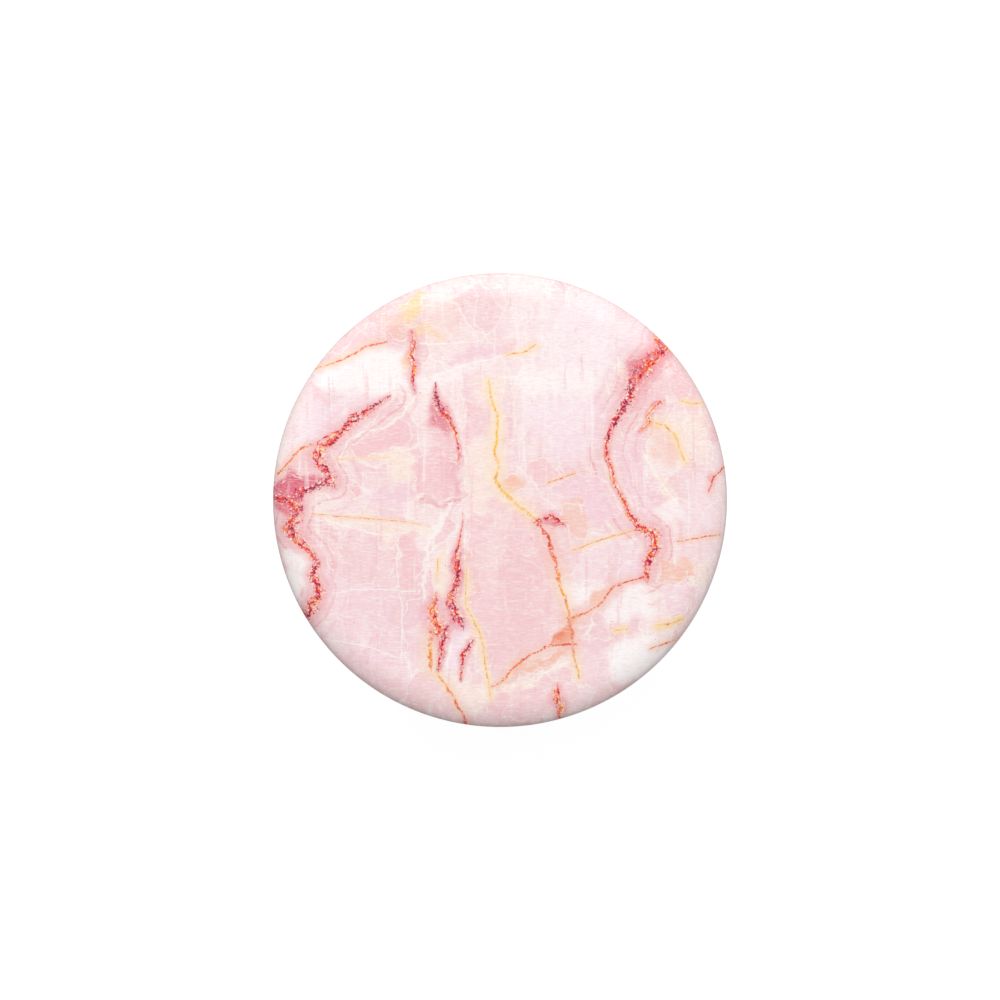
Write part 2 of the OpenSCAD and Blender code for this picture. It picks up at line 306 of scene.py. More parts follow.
# Each patch is a tone, its strength, the width of its soft edge, and its outline in mm.
PATCHES = [
    ("white", 0.3, 2.0, [(0.0, 18.0), (6.0, 17.8), (11.5, 15.2), (9.5, 10.8), (1.0, 11.4)]),
    ("white", 0.95, 0.6, [(-14.6, 11.8), (-13.2, 12.8), (-10.6, 13.4), (-8.5, 13.2), (-8.1, 11.5),
        (-8.0, 10.0), (-9.7, 9.3), (-12.6, 9.3), (-15.2, 9.7), (-16.1, 10.9)]),
    ("lavender", 0.8, 1.2, [(-18.4, 5.1), (-16.4, 8.6), (-13.5, 9.0), (-10.6, 9.0), (-13.2, 7.4),
        (-15.5, 5.4)]),
    ("rose", 0.45, 0.8, [(-16.7, 5.1), (-14.4, 7.4), (-11.5, 8.8), (-10.6, 8.7), (-13.5, 7.3),
        (-15.8, 5.2)]),
    ("rose", 0.45, 0.6, [(-12.9, 14.5), (-10.6, 15.5), (-8.5, 15.2), (-8.3, 13.8), (-10.3, 14.2),
        (-12.6, 13.5)]),
    ("amber", 0.9, 0.35, [(-9.0, 16.8), (-7.0, 18.4), (-6.4, 18.4), (-7.0, 16.7), (-7.5, 15.4),
        (-8.5, 15.8)]),
    ("amber", 0.6, 0.3, [(-7.7, 15.4), (-6.5, 15.2), (-4.5, 14.4), (-5.1, 13.9), (-7.1, 14.2)]),
    ("amber", 0.7, 0.25, [(-8.5, 12.6), (-7.8, 13.2), (-7.7, 11.5), (-8.4, 11.2)]),
    ("peach", 0.55, 0.4, [(-10.6, 15.8), (-8.5, 16.7), (-7.7, 15.2), (-8.0, 13.9), (-9.4, 14.4)]),
    ("peach", 0.2, 0.5, [(-6.8, 17.6), (-3.0, 17.7), (-3.9, 14.5), (-6.2, 14.7), (-7.1, 15.8)]),
    ("rose", 0.3, 0.4, [(-1.6, 18.4), (0.2, 18.4), (0.7, 14.1), (-0.4, 14.4)]),
    ("mauve", 0.7, 0.25, [(2.6, 16.7), (3.1, 16.7), (3.5, 11.8), (2.9, 12.0)]),
    ("mauve", 0.35, 0.3, [(0.7, 18.4), (1.3, 18.4), (2.2, 14.4), (1.6, 14.1)]),
    ("lavender", 0.7, 1.5, [(4.2, 17.9), (8.9, 17.0), (12.9, 14.4), (10.6, 12.6), (9.4, 10.6),
        (4.8, 11.2), (3.9, 14.4)]),
    ("mauve", 0.35, 0.4, [(6.4, 15.0), (7.0, 15.0), (7.1, 11.5), (6.4, 11.5)]),
    ("mauve", 0.85, 0.3, [(-4.8, 12.2), (-2.7, 13.1), (0.2, 13.7), (2.2, 13.9), (2.2, 13.4),
        (0.2, 12.8), (-2.2, 11.9), (-4.5, 11.5)]),
    ("rose", 1.0, 0.2, [(0.2, 13.8), (1.2, 13.9), (1.2, 13.2), (0.3, 13.1)]),
    ("white", 0.5, 0.3, [(-7.4, 10.2), (-3.9, 11.5), (-0.1, 12.6), (-0.1, 12.2), (-3.6, 10.7),
        (-7.1, 9.4)]),
    ("cream", 0.9, 0.5, [(-2.2, 10.6), (0.2, 10.9), (0.2, 8.0), (0.0, 3.9), (-0.9, 5.1), (-0.7, 7.7)]),
    ("amber", 0.22, 0.35, [(-1.9, 10.5), (-0.7, 10.3), (-0.3, 7.7), (-0.9, 8.6)]),
    ("rose", 0.55, 0.25, [(-3.2, 8.6), (-1.3, 8.6), (-1.0, 5.4), (-3.0, 5.4)]),
    ("lavender", 0.7, 1.0, [(2.2, 8.6), (4.5, 9.1), (8.3, 8.9), (8.6, 5.1), (6.8, 3.0), (4.2, 3.9),
        (2.8, 6.2)]),
    ("white", 0.6, 0.6, [(0.2, 10.6), (3.1, 11.4), (8.9, 12.0), (8.3, 9.1), (4.5, 9.3), (1.9, 9.4)]),
    ("mauve", 0.55, 0.6, [(8.3, 9.1), (10.6, 8.6), (9.4, 6.5), (8.9, 3.9), (7.7, 5.7)]),
    ("peach", 0.95, 0.25, [(0.0, 2.0), (1.3, 2.4), (2.1, 1.3), (1.5, 0.4), (0.3, 0.9)]),
    ("cream", 0.7, 0.35, [(-3.2, 5.1), (-0.7, 5.1), (-0.4, 2.8), (-1.0, 1.0), (-1.6, -1.3),
        (-2.7, -1.3), (-3.0, 1.6)]),
    ("rose", 0.62, 0.3, [(-2.7, 0.1), (-0.1, 0.4), (1.5, -0.6), (3.1, -2.2), (4.4, -4.5), (5.1, -7.1),
        (5.8, -10.0), (4.4, -12.0), (1.9, -13.8), (-0.1, -14.8), (-1.6, -12.0), (-2.6, -8.9),
        (-3.0, -4.5)]),
    ("rose", 1.0, 0.35, [(-13.0, 4.8), (-10.9, 6.0), (-8.5, 7.0), (-7.7, 6.2), (-8.5, 4.5),
        (-10.6, 3.9), (-12.9, 3.8)]),
    ("cream", 0.9, 0.4, [(-10.3, 3.6), (-8.3, 4.8), (-7.4, 3.9), (-7.7, 2.2), (-9.4, 1.6)]),
    ("rose", 0.9, 0.4, [(-7.7, 3.0), (-6.2, 4.5), (-3.9, 4.5), (-3.5, 2.2), (-3.6, 0.4), (-5.4, 0.1),
        (-7.4, 0.4)]),
    ("rose", 0.9, 0.25, [(-13.2, 1.6), (-12.0, 1.6), (-12.2, 0.1), (-12.9, 0.1)]),
    ("mauve", 0.8, 0.5, [(-11.5, -0.1), (-10.0, 1.3), (-7.7, 1.6), (-7.4, 0.1), (-8.5, -0.7),
        (-10.9, -0.6)]),
    ("cream", 0.8, 0.25, [(-16.7, -1.2), (-11.5, -1.3), (-6.2, -2.3), (-6.5, -3.0), (-10.0, -2.8),
        (-14.4, -2.0)]),
    ("cream", 0.5, 0.2, [(-10.6, -2.9), (-8.5, -3.0), (-9.1, -4.1), (-10.6, -4.2)]),
    ("rose", 0.3, 0.5, [(-16.1, -2.5), (-10.6, -3.0), (-8.8, -3.9), (-9.4, -6.8), (-14.4, -7.4),
        (-14.9, -4.8)]),
    ("rose", 0.8, 0.2, [(-8.7, -3.0), (-7.1, -2.8), (-7.0, -6.0), (-7.4, -7.8), (-8.7, -7.8)]),
    ("mauve", 0.5, 0.9, [(-15.4, -5.8), (-9.4, -7.4), (-8.6, -11.2), (-7.8, -15.1), (-12.0, -14.6),
        (-15.6, -11.0)]),
    ("white", 0.8, 0.4, [(-18.9, -4.5), (-17.1, -4.9), (-16.7, -6.8), (-17.7, -8.9), (-18.4, -7.4)]),
    ("rose", 0.6, 0.6, [(12.1, 9.1), (13.8, 11.2), (15.8, 12.0), (17.3, 10.0), (14.7, 8.9), (12.6, 7.7)]),
    ("mauve", 0.5, 0.4, [(9.7, 4.8), (11.8, 6.5), (12.6, 3.9), (14.4, -0.1), (12.6, -1.9), (10.9, 0.7),
        (9.9, 2.8)]),
    ("peach", 0.55, 0.3, [(12.6, 6.5), (14.4, 6.5), (15.8, 4.5), (15.5, 2.8), (13.2, 3.9)]),
    ("cream", 0.7, 0.6, [(14.4, 7.4), (17.6, 7.7), (18.4, 5.1), (17.6, 3.3), (16.1, 3.9), (15.3, 6.0)]),
    ("cream", 0.7, 0.2, [(12.6, 3.9), (13.2, 3.9), (15.3, -0.1), (14.7, -0.4)]),
    ("rose", 0.5, 0.2, [(15.8, 7.1), (16.3, 7.1), (16.7, 5.1), (16.3, 4.8)]),
    ("white", 0.6, 0.3, [(13.5, -0.7), (15.5, -0.1), (16.4, -1.6), (14.1, -2.2)]),
    ("lavender", 0.4, 0.8, [(15.5, 2.8), (18.4, 2.2), (19.0, -1.9), (16.4, -2.5)]),
    ("rose", 0.6, 0.3, [(2.2, 2.8), (3.9, 3.6), (5.4, 2.5), (3.4, 1.0), (2.5, 1.3)]),
    ("mauve", 0.85, 0.3, [(3.9, 1.3), (6.0, 2.0), (9.2, 2.0), (10.3, -1.3), (8.9, -2.5), (6.0, 0.1)]),
    ("peach", 0.6, 0.3, [(5.4, -0.1), (6.8, 0.1), (8.1, -2.2), (7.1, -3.3), (5.7, -3.0)]),
    ("mauve", 0.35, 0.2, [(6.0, -4.8), (12.1, -3.3), (12.5, -6.8), (8.9, -7.4), (6.0, -6.8)]),
    ("lavender", 0.6, 0.2, [(10.3, -3.9), (12.1, -3.5), (12.4, -6.7), (10.6, -7.1)]),
    ("white", 0.7, 0.3, [(5.4, -7.1), (7.7, -7.7), (8.9, -7.7), (7.7, -8.9), (6.0, -9.4)]),
    ("peach", 0.95, 0.2, [(7.7, -8.0), (9.3, -7.8), (9.0, -8.9), (8.1, -9.7)]),
    ("white", 0.8, 0.5, [(9.7, -8.6), (11.2, -7.4), (12.6, -7.3), (13.2, -10.0), (11.2, -10.6),
        (9.2, -10.6)]),
    ("amber", 0.7, 0.15, [(9.7, -11.3), (11.0, -11.0), (11.0, -11.5), (9.9, -11.6)]),
    ("amber", 0.9, 0.2, [(13.5, -10.7), (15.8, -10.3), (15.8, -10.8), (13.7, -11.3)]),
    ("peach", 0.8, 0.3, [(13.8, -5.4), (16.7, -4.8), (17.0, -6.8), (13.8, -7.1)]),
    ("lavender", 0.4, 0.3, [(14.2, -7.3), (16.6, -7.3), (16.4, -10.0), (14.2, -10.0)]),
    ("cream", 0.7, 0.3, [(16.1, -6.0), (18.2, -5.4), (17.6, -7.7), (16.4, -7.4)]),
    ("white", 0.9, 0.5, [(9.7, -12.6), (13.2, -11.5), (15.5, -12.6), (13.2, -14.7), (11.2, -15.8),
        (9.4, -16.1)]),
    ("mauve", 0.55, 0.3, [(6.8, -12.3), (9.7, -11.8), (9.2, -14.1), (8.6, -16.4), (6.8, -15.8)]),
    ("rose", 0.5, 0.5, [(-0.4, -17.0), (3.1, -15.5), (6.0, -14.7), (7.7, -17.3), (3.6, -19.0),
        (-1.6, -19.0)]),
    ("peach", 0.95, 0.25, [(0.3, -15.8), (1.5, -14.5), (4.5, -13.1), (6.1, -13.1), (4.8, -14.1),
        (2.2, -15.1)]),
    ("cream", 0.7, 0.2, [(-0.1, -16.5), (1.9, -15.7), (4.8, -14.4), (6.3, -13.5), (6.0, -14.2),
        (3.1, -15.8), (0.2, -17.1)]),
    ("ember", 1.0, 0.2, [(6.3, -10.2), (6.5, -12.8), (4.2, -12.4)]),
    ("plum", 0.75, 0.35, [(-5.5, 10.0), (-5.6, 8.6), (-4.8, 7.7), (-3.9, 6.2), (-4.3, 5.4), (-5.9, 6.5),
        (-6.2, 8.3)]),
    ("rose", 0.9, 0.4, [(-6.2, 8.0), (-4.2, 5.7), (-3.8, 3.9), (-5.1, 3.9), (-6.5, 5.7)]),
    ("plum", 0.95, 0.3, [(-19.7, 1.6), (-18.4, 2.8), (-16.4, 2.2), (-14.8, 1.7), (-16.7, 0.9),
        (-17.8, 0.1), (-18.0, -1.3), (-19.6, -1.0)]),
    ("rose", 0.9, 0.4, [(-19.0, 2.8), (-17.5, 4.4), (-15.8, 4.8), (-15.5, 3.6), (-16.1, 2.2),
        (-18.4, 2.2)]),
    ("plum", 0.75, 0.3, [(11.2, 11.8), (12.6, 12.9), (13.5, 13.5), (13.2, 11.8), (12.1, 10.3),
        (11.3, 10.6)]),
    ("rose", 0.9, 0.3, [(13.7, 14.2), (15.0, 12.9), (14.1, 11.5), (12.9, 10.6), (12.6, 12.6)]),
    ("cream", 0.8, 0.3, [(10.0, 11.5), (11.2, 11.5), (11.5, 10.0), (10.3, 10.6)]),
    ("plum", 0.75, 0.15, [(3.2, -1.5), (4.5, -1.2), (5.5, -2.0), (4.5, -2.5), (3.5, -2.0)]),
    ("rose", 0.7, 0.25, [(2.2, -0.1), (3.9, 0.1), (4.8, -1.3), (3.1, -1.5)]),
    ("plum", 0.7, 0.15, [(-5.2, -11.2), (-4.5, -11.2), (-4.8, -13.2), (-5.3, -15.0), (-5.5, -14.7),
        (-5.2, -12.6)]),
    ("lavender", 0.8, 0.2, [(-4.5, -11.2), (-2.7, -10.6), (-2.2, -12.0), (-3.3, -12.6), (-3.9, -14.7),
        (-4.8, -14.7)]),
    ("plum", 0.4, 0.2, [(-4.8, -9.1), (-3.9, -8.9), (-3.2, -10.6), (-4.5, -10.6)]),
    ("plum", 0.5, 0.2, [(-3.9, -4.5), (-3.2, -4.5), (-3.3, -6.8), (-4.0, -7.7), (-4.5, -6.5)]),
    ("cream", 0.8, 0.2, [(-5.5, -5.1), (-4.3, -3.9), (-4.3, -8.3), (-5.4, -8.6)]),
    ("cream", 0.75, 0.3, [(-3.2, -5.4), (-2.5, -5.7), (-2.7, -8.9), (-1.6, -12.0), (-0.9, -15.8),
        (-1.3, -17.0), (-2.5, -12.0), (-3.3, -9.1)]),
    ("cream", 0.7, 0.4, [(-5.1, -15.1), (-2.7, -15.8), (-0.4, -16.4), (-0.7, -17.6), (-2.7, -18.4),
        (-3.9, -17.3)]),
    ("rose", 0.85, 0.2, [(-4.2, 5.6), (-3.4, 5.2), (-3.4, 3.6), (-4.0, 3.5)]),
    ("plum", 0.32, 0.1, [(-6.9, 0.2), (-5.0, 0.0), (-3.6, 0.5), (-3.6, -0.1), (-4.8, -0.5), (-6.8, -0.6)]),
    ("plum", 0.3, 0.3, [(-4.4, 5.4), (-3.4, 4.8), (-3.4, 0.4), (-4.0, 0.4)]),
    ("peach", 0.5, 0.3, [(-3.1, -4.3), (-2.4, -4.6), (-2.3, -9.0), (-2.9, -9.4)]),
    ("peach", 0.55, 0.25, [(-3.2, -10.2), (-2.0, -10.4), (-1.6, -12.3), (-2.6, -12.2)]),
    ("amber", 0.5, 0.12, [(-3.9, -7.8), (-3.5, -7.8), (-3.5, -9.2), (-3.8, -9.2)]),
    ("plum", 0.4, 0.2, [(18.2, 2.5), (19.3, 2.8), (19.0, 1.9), (18.4, 1.0)]),
    ("rose", 0.4, 0.6, [(-16.4, -10.6), (-14.4, -12.6), (-10.6, -14.7), (-8.5, -16.1), (-10.6, -17.3),
        (-14.4, -14.7)]),
    ("mauve", 0.4, 0.3, [(-8.3, -8.6), (-6.5, -8.4), (-6.2, -11.8), (-6.5, -14.7), (-8.3, -14.4)]),
]

# The tones in the order that they are laid down, with their screen colours.
TONES = {
    "lavender": (250, 231, 240), "mauve": (246, 210, 220), "rose": (247, 203, 207),
    "white": (255, 250, 250), "cream": (252, 233, 220), "peach": (247, 196, 176),
    "amber": (251, 213, 158), "ember": (238, 116, 54), "plum": (222, 92, 118),
}
# The two longest veins, which the growth bands follow.
GREAT_VEINS = (VEINS["crimson_trunk"][0], VEINS["crimson_trunk"][3])


def to_segment(xy, start, end):
    """From points to a segment: which side they are on, how far away, and how far along."""
    start, end = np.array(start), np.array(end)
    run = end - start
    along = np.clip((xy - start) @ run / (run @ run), 0, 1)
    away = xy - start - along[:, None] * run
    side = np.sign(run[0] * away[:, 1] - run[1] * away[:, 0])
    return side, np.linalg.norm(away, axis=1), along


def spread(values, share):
    """The value at a share of the way through a run of evenly spaced values."""
    return np.interp(share, np.linspace(0, 1, len(values)), values)


def vein_field(xy, veins):
    """For each point, its signed and plain distance to the nearest vein, in half widths
    of that vein, and that vein's heat."""
    best = np.full(len(xy), FAR)
    field = np.zeros((len(xy), 3))
    for widths, heats, route in veins:
        for i, (start, end) in enumerate(zip(route, route[1:])):
            side, distance, along = to_segment(xy, start, end)
            share = (i + along) / (len(route) - 1)
            away = distance / spread(widths, share)
            closer = away < best
            best[closer] = away[closer]
            field[closer, 0] = (side * away)[closer]
            field[closer, 1] = away[closer]
            field[closer, 2] = spread(heats, share)[closer]
    return field


def inside_distance(xy, outline):
    """Distance to an outline's edge, positive inside it."""
    nearest = np.full(len(xy), FAR)
    inside = np.zeros(len(xy), bool)
    for start, end in zip(outline, outline[1:] + outline[:1]):
        nearest = np.minimum(nearest, to_segment(xy, start, end)[1])
        crosses = (start[1] > xy[:, 1]) != (end[1] > xy[:, 1])
        rise = end[1] - start[1] or 1 / FAR
        inside ^= crosses & (xy[:, 0] < (end[0] - start[0]) * (xy[:, 1] - start[1]) / rise + start[0])
    return np.where(inside, nearest, -nearest)


def wavered(xy, reach=0.22):
    """The points moved a little by smooth waves, so that straight outlines look grown."""
    x, y = xy[:, 0], xy[:, 1]
    across = np.sin(1.7 * y + 0.6 * x) + 0.6 * np.sin(3.9 * y - 1.1 * x + 1.0)
    along = np.sin(1.4 * x - 0.5 * y + 2.0) + 0.6 * np.sin(3.3 * x + 0.9 * y)
    return xy + reach * np.stack([across, along], axis=1)


def print_fields(mesh, flat):
    """Writes the print's vein distances and tone strengths on a mesh's points. flat holds
    each point's place on the flat print, in mm."""
    def store(name, values):
        kind, key = ("FLOAT_VECTOR", "vector") if values.ndim == 2 else ("FLOAT", "value")
        layer = mesh.attributes.new(name, kind, "POINT")
        layer.data.foreach_set(key, values.astype(np.float32).ravel())

    for name, veins in VEINS.items():
        store(name, vein_field(flat, veins))
    moved = wavered(flat)
    line_half, sharp_edge = 0.07, 0.5
    outlines = [((line_half,), (0,), outline + outline[:1])
                for _, _, soft, outline in PATCHES if soft <= sharp_edge]
    store("edge", vein_field(moved, outlines))
    strengths = {tone: np.zeros(len(flat)) for tone in TONES}
    for tone, strength, soft, outline in PATCHES:
        cover = np.clip((inside_distance(moved, outline) + soft) / (2 * soft), 0, 1)
        cover = cover * cover * (3 - 2 * cover)
        strengths[tone] = np.maximum(strengths[tone], strength * cover)
    for tone, values in strengths.items():
        store(tone, values)
    bands = np.full(len(flat), FAR)
    for _, _, route in GREAT_VEINS:
        for start, end in zip(route, route[1:]):
            bands = np.minimum(bands, to_segment(flat, start, end)[1])
    store("bands", bands)


def make_printed_cap(cells=132):
    """The printed cap: a flat disc, rolled over the rim, with a thin wall behind it."""
    roll, lip, top_t, side_t = (FLAT_R, ROLL_Z), 0.12, 0.4, 0.5
    inner_r, inner_z = DISC_R - side_t, TOP_Z - top_t
    outline = ellipse_arc(roll, ROLL_W, ROLL_H, 90, 0, 18)[1:]
    outline += [(DISC_R, ROLL_Z - 0.35), (DISC_R, CAP_LOW.z + 2 * lip)]
    outline += ellipse_arc((DISC_R - lip, CAP_LOW.z + lip), lip, lip, 0, -90, 4)
    outline += [(inner_r, CAP_LOW.z), (inner_r, ROLL_Z - 0.1)]
    outline += ellipse_arc(roll, ROLL_W - side_t, ROLL_H - top_t, 0, 90, 8)
    outline.append((FLAT_R * 0.6, inner_z))
    grid, faces, border = disc_grid(cells, FLAT_R)
    points = [(x, y, TOP_Z) for x, y in grid]
    flat = list(grid)
    edge, count = border, len(border)
    for r, z in outline:
        first = len(points)
        reach = r + max(0.0, ROLL_Z - z)
        for k in range(count):
            angle = 2 * math.pi * k / count - math.pi / 4
            points.append((r * math.cos(angle), r * math.sin(angle), z))
            flat.append((reach * math.cos(angle), reach * math.sin(angle)))
        ring = list(range(first, first + count))
        faces += [[edge[k], edge[(k + 1) % count], ring[(k + 1) % count], ring[k]] for k in range(count)]
        edge = ring
    faces += [[edge[k], edge[(k + 1) % count], len(points)] for k in range(count)]
    points.append((0, 0, inner_z))
    flat.append((0, 0))
    cap = finish_mesh("marble_cap", points, faces)
    print_fields(cap.data, np.array(flat, float))
    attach(cap, "top")
    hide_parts("printed_cap")
    return cap


# ---------------- moulded pieces
def make_top_plate():
    """The white moulding behind the cap: lip, ceiling, two stiffening rings and a boss."""
    room = 1.2
    cavity_r = OUTER_WALL_R + HALF_WALL + room
    boss_r, boss_z = 4.38, CEILING_Z - 0.8
    rib_z, rib_half = CEILING_Z - 0.3, 0.2
    lip_r, seat_r, seat_z = PLATE_HIGH.x, DISC_R - 0.55, CAP_LOW.z - GAP
    corners = [(0, boss_z, 0), (boss_r, boss_z, 0.15), (boss_r, CEILING_Z, 0.15)]
    for rib_r in (MIDDLE_WALL_R - STEP_R / 2, OUTER_WALL_R - STEP_R / 2):
        corners += [
            (rib_r - rib_half, CEILING_Z, 0.08), (rib_r - rib_half, rib_z, 0.1),
            (rib_r + rib_half, rib_z, 0.1), (rib_r + rib_half, CEILING_Z, 0.08),
        ]
    corners += [
        (cavity_r, CEILING_Z, 0.4), (cavity_r, PLATE_LOW.z, 0.3), (lip_r, PLATE_LOW.z, 0.22),
        (lip_r, seat_z, 0.05), (seat_r, seat_z, 0),
    ]
    outline = rounded(corners)
    outline += ellipse_arc((FLAT_R, ROLL_Z), seat_r - FLAT_R, PLATE_HIGH.z - ROLL_Z, 0, 90, 8)
    outline.append((0, PLATE_HIGH.z))
    plate = lathe("top_shell", supported(outline))
    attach(plate, "top")
    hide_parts("top_plate")
    return plate


def web_outline(low, high, side, steps=14):
    """One face of a folding web from low to high, on the side of its normal that side
    gives. The web thins to a living hinge near both ends."""
    run = (high[0] - low[0], high[1] - low[1])
    length = math.hypot(*run)
    normal = (run[1] / length, -run[0] / length)
    hinge_half, web_half, rounding = 0.15, 0.26, 0.12
    hinge_share, web_share = 0.06, 0.15
    stations = [(hinge_share, hinge_half, rounding), (web_share, web_half, rounding)]
    for i in range(1, steps):
        stations.append((web_share + (1 - 2 * web_share) * i / steps, web_half, 0))
    stations += [(1 - web_share, web_half, rounding), (1 - hinge_share, hinge_half, rounding)]
    points = []
    for share, half, radius in stations:
        points.append((low[0] + run[0] * share + normal[0] * half * side,
                       low[1] + run[1] * share + normal[1] * half * side, radius))
    return points


def moulding_outline(foot, wall_r, fold_z, inner_r, landing_z, top_z, top_rounding):
    """One moulding of the neck, from the corners of its foot: an upright wall up to a
    rounded bead at fold_z, the web that folds away from it, and the wall inside it."""
    outer, inner = wall_r + HALF_WALL, inner_r + HALF_WALL
    low, high = (wall_r, fold_z), (inner_r, landing_z)
    bead = [(outer, fold_z - 0.55, 0.2), (outer + 0.06, fold_z - 0.32, 0.1),
            (outer + 0.02, fold_z - 0.06, 0.12)]
    corners = foot + bead + web_outline(low, high, 1)
    corners += [(inner, landing_z - 0.04, 0.06), (inner, top_z, top_rounding),
                (inner_r - HALF_WALL, top_z, 0), (inner_r - HALF_WALL, landing_z + 0.3, 0.2)]
    corners += web_outline(low, high, -1)[::-1]
    corners.append((wall_r - HALF_WALL, fold_z + 0.1, 0.1))
    return supported(rounded(corners))


def bend(moulding):
    """Bakes a moulding's place into its mesh points."""
    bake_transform(moulding)


def make_accordion():
    """The folding neck, as two mouldings that meet halfway up the middle wall."""
    foot_z, flange_r = OUTER_LOW.z, OUTER_HIGH.x
    flange_z = foot_z + FLANGE_T
    foot = [(OUTER_WALL_R - HALF_WALL, foot_z, 0), (flange_r, foot_z, 0),
            (flange_r, flange_z, 0), (OUTER_WALL_R + HALF_WALL, flange_z, 0)]
    lower = lathe("accordion_lower", moulding_outline(
        foot, OUTER_WALL_R, OUTER_HIGH.z, MIDDLE_WALL_R, MIDDLE_LOW.z, SEAM_Z, 0))
    bend(lower)
    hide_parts("accordion_base_wall", "accordion_lower_web", "accordion_mid_wall")

    foot = [(MIDDLE_WALL_R - HALF_WALL, SEAM_Z, 0), (MIDDLE_WALL_R + HALF_WALL, SEAM_Z, 0)]
    upper = lathe("accordion_upper", moulding_outline(
        foot, MIDDLE_WALL_R, MIDDLE_HIGH.z, INNER_WALL_R, INNER_LOW.z, INNER_HIGH.z, 0.15))
    bend(upper)
    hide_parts("accordion_upper_web", "accordion_top_wall")
    return lower, upper


def make_platform():
    """The base disc, with a flat top and a rolled edge."""
    rim_w, pad_gap = 3.45, 0.1
    hole_r, step_z = PLATFORM_HIGH.x - rim_w, OUTER_LOW.z + FLANGE_T + GAP
    flange_r, recess_r = OUTER_HIGH.x + GAP, GEL_HIGH.x + pad_gap
    low_z, top_z = PLATFORM_LOW.z, PLATFORM_HIGH.z
    foot, edge, lip = 0.22, 0.9, 0.15
    outline = [(hole_r, step_z), (flange_r, step_z), (flange_r, BOND_HIGH.z),
               (recess_r, BOND_HIGH.z), (recess_r, low_z)]
    outline += ellipse_arc((DISC_R - foot, low_z + foot), foot, foot, -90, 0, 5)
    outline += ellipse_arc((DISC_R - edge, top_z - edge), edge, edge, 0, 90, 12)
    outline += ellipse_arc((hole_r + lip, top_z - lip), lip, lip, 90, 180, 5)
    platform = lathe("base_disc", supported(outline))
    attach(platform, "base")
    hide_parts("platform")
    return platform


def make_gel_pad():
    """The washable gel layer, with a soft lower edge."""
    r, top = GEL_HIGH.x, GEL_HIGH.z
    pad = lathe("gel_pad", supported(rounded([(0, 0, 0), (r, 0, 0.12), (r, top, 0.04), (0, top, 0)])))
    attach(pad, "base")
    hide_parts("adhesive_gel")
    return pad


# ---------------- node helpers
def colour(red, green, blue):
    """A linear colour from screen values of 0 to 255."""
    linear = [c / 12.92 if c <= 0.04045 else ((c + 0.055) / 1.055) ** 2.4
              for c in (red / 255, green / 255, blue / 255)]
    return (*linear, 1.0)


class Graph:
    """The nodes of a material or a world, made by small calls that take sockets, nodes
    (for their first output) or plain values. A tint is three screen values."""

    def __init__(self, owner):
        owner.use_nodes = True
        self.tree = owner.node_tree
        self.tree.nodes.clear()

    def put(self, socket, value):
        if isinstance(value, bpy.types.Node):
            value = value.outputs[0]
        if isinstance(value, bpy.types.NodeSocket):
            self.tree.links.new(value, socket)
        elif socket.type == "RGBA" and len(value) == 3:
            socket.default_value = colour(*value)
        else:
            socket.default_value = value

    def node(self, kind, *values, inputs=(), **settings):
        """A node with its settings, its first inputs from values, and named ones."""
        node = self.tree.nodes.new("ShaderNode" + kind)
        for name, setting in settings.items():
            setattr(node, name, setting)
        for socket, value in zip(node.inputs, values):
            self.put(socket, value)
        for name, value in dict(inputs).items():
            self.put(node.inputs[name], value)
        return node

    def math(self, operation, *values, clamp=False):
        return self.node("Math", *values, operation=operation, use_clamp=clamp).outputs[0]

    def times(self, first, second):
        return self.math("MULTIPLY", first, second)

    def swing(self, value, middle, reach):
        """How far a value is from its middle, times reach."""
        return self.times(self.math("SUBTRACT", value, middle), reach)


